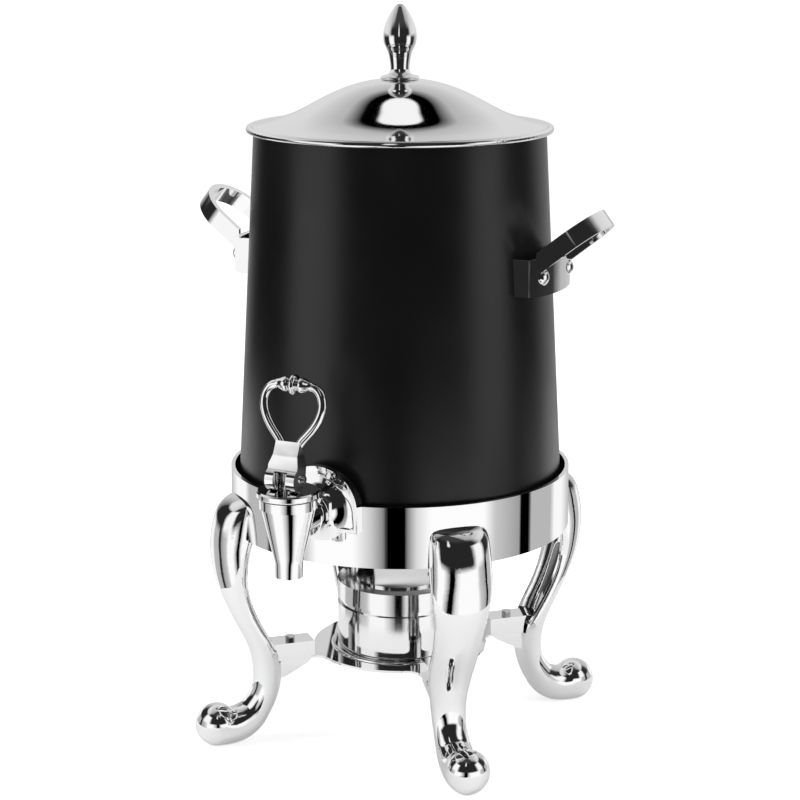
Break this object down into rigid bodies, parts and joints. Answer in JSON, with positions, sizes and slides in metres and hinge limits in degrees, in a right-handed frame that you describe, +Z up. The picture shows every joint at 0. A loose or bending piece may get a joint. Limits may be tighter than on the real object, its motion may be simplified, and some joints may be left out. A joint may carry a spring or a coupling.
{
  "type": "coffee urn",
  "caption": "Tapered hot-drink urn with a lift-off ogee lid, lever tap and side handles, on a four-legged stand with a fuel burner",
  "frame": {"origin": "on the floor under the middle of the urn", "axes": "+Z up, the tap points to -Y, the handles to +X and -X"},
  "size_m": [0.3374, 0.3313, 0.56],
  "materials": {
    "black_enamel": "satin black coating",
    "mirror_steel": "mirror polished",
    "polished_cast": "polished plating on a casting",
    "steel": "plain stainless",
    "black_rubber": "matte",
    "seal_rubber": "matte silicone",
    "black_plastic": "smooth"
  },
  "bodies": {
    "stand": {"stand_ring": "mirror_steel", "leg_front_left": "polished_cast", "leg_front_right": "polished_cast", "leg_back_left": "polished_cast", "leg_back_right": "polished_cast", "leg_screws": "steel", "burner_tray": "mirror_steel", "tray_pins": "steel", "tray_screws": "steel"},
    "urn": {"urn_vessel": "black_enamel", "handle_bracket_left": "polished_cast", "handle_loop_left": "polished_cast", "handle_rivets_left": "steel", "handle_bracket_right": "polished_cast", "handle_loop_right": "polished_cast", "handle_rivets_right": "steel", "tap_escutcheon": "polished_cast", "tap_outer_washer": "black_rubber", "tap_inner_washer": "black_rubber", "tap_lock_nut": "steel", "tap_shank": "steel", "tap_jam_nut": "polished_cast", "tap_coupling_nut": "polished_cast", "tap_body": "polished_cast", "tap_bonnet": "polished_cast", "tap_bonnet_gasket": "black_rubber", "tap_spring": "steel"},
    "lid": {"lid_shell": "mirror_steel", "lid_locating_ring": "mirror_steel", "lid_finial": "polished_cast", "finial_washer": "steel", "finial_nut": "steel"},
    "tap_stem": {"tap_stem": "black_plastic", "tap_seat_cup": "seal_rubber", "tap_lever_pin": "steel"},
    "tap_lever": {"tap_lever": "polished_cast"},
    "burner": {"fuel_cup": "mirror_steel"},
    "burner_lid": {"fuel_cup_lid": "mirror_steel", "damper_rivet": "steel"},
    "damper": {"damper_plate": "mirror_steel"}
  },
  "joints": [
    {"name": "urn_lift", "type": "slide", "parent": "stand", "child": "urn", "axis": [0, 0, 1], "range_m": [0, 0.1]},
    {"name": "lid_lift", "type": "slide", "parent": "urn", "child": "lid", "axis": [0, 0, 1], "range_m": [0, 0.12]},
    {"name": "stem_lift", "type": "slide", "parent": "urn", "child": "tap_stem", "axis": [0, 0, 1], "range_m": [0, 0.00385], "deforming": ["tap_spring"]},
    {"name": "lever_tilt", "type": "hinge", "parent": "tap_stem", "child": "tap_lever", "pos_m": [0, -0.179, 0.244], "axis": [1, 0, 0], "range_deg": [0, 50], "stiffness_Nm_per_rad": 0.03, "springref_deg": -85.94},
    {"name": "burner_lift", "type": "slide", "parent": "stand", "child": "burner", "axis": [0, 0, 1], "range_m": [0, 0.02]},
    {"name": "burner_lid_lift", "type": "slide", "parent": "burner", "child": "burner_lid", "axis": [0, 0, 1], "range_m": [0, 0.018]},
    {"name": "damper_swing", "type": "hinge", "parent": "burner_lid", "child": "damper", "pos_m": [0.02431, 0.01175, 0.1196], "axis": [0, 0, 1], "range_deg": [0, 100]}
  ],
  "couplings": [
    {"joint": "stem_lift", "follows": "lever_tilt", "m_per_rad": 0.0044}
  ]
}
